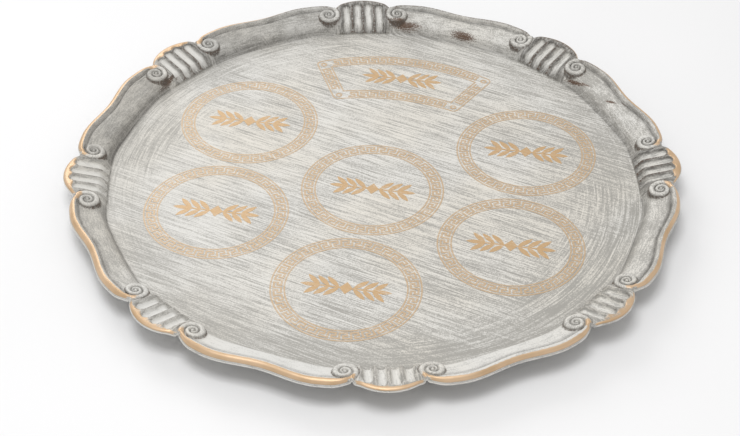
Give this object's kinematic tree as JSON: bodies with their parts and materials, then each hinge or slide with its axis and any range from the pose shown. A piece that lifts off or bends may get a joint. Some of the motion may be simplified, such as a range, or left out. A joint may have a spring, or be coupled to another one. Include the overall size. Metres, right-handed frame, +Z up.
{
  "type": "seder plate",
  "caption": "Round scalloped seder plate: a shallow flat dish with a fluted and scrolled raised rim, gilded edges and gold key-pattern ring prints on its floor.",
  "frame": {"origin": "on the plate's axis, at the plane its foot ring stands on", "axes": "+Z up along the plate's axis, +X through the tip of a fluted lobe, +Y away from the reader apart from the print's turn"},
  "size_m": [0.33, 0.33, 0.0172],
  "materials": {
    "whitewashed_body": "grey moulding, whitewashed with brush strokes, dark wash left in the hollows",
    "gilding": "brushed-on metallic gold paint",
    "gold_print": "worn gold foil transfer"
  },
  "bodies": {
    "root": {"fan_transfer": "gold_print", "flute_gilding_1": "gilding", "flute_gilding_2": "gilding", "flute_gilding_3": "gilding", "flute_gilding_4": "gilding", "flute_gilding_5": "gilding", "flute_gilding_6": "gilding", "flute_gilding_7": "gilding", "flute_gilding_8": "gilding", "mark_bottom": "gold_print", "mark_centre": "gold_print", "mark_fan": "gold_print", "mark_lower_left": "gold_print", "mark_lower_right": "gold_print", "mark_upper_left": "gold_print", "mark_upper_right": "gold_print", "panel_gilding_1": "gilding", "panel_gilding_2": "gilding", "panel_gilding_3": "gilding", "panel_gilding_4": "gilding", "panel_gilding_5": "gilding", "panel_gilding_6": "gilding", "panel_gilding_7": "gilding", "panel_gilding_8": "gilding", "ring_transfer_bottom": "gold_print", "ring_transfer_centre": "gold_print", "ring_transfer_lower_left": "gold_print", "ring_transfer_lower_right": "gold_print", "ring_transfer_upper_left": "gold_print", "ring_transfer_upper_right": "gold_print", "tray_body": "whitewashed_body"}
  },
  "joints": []
}
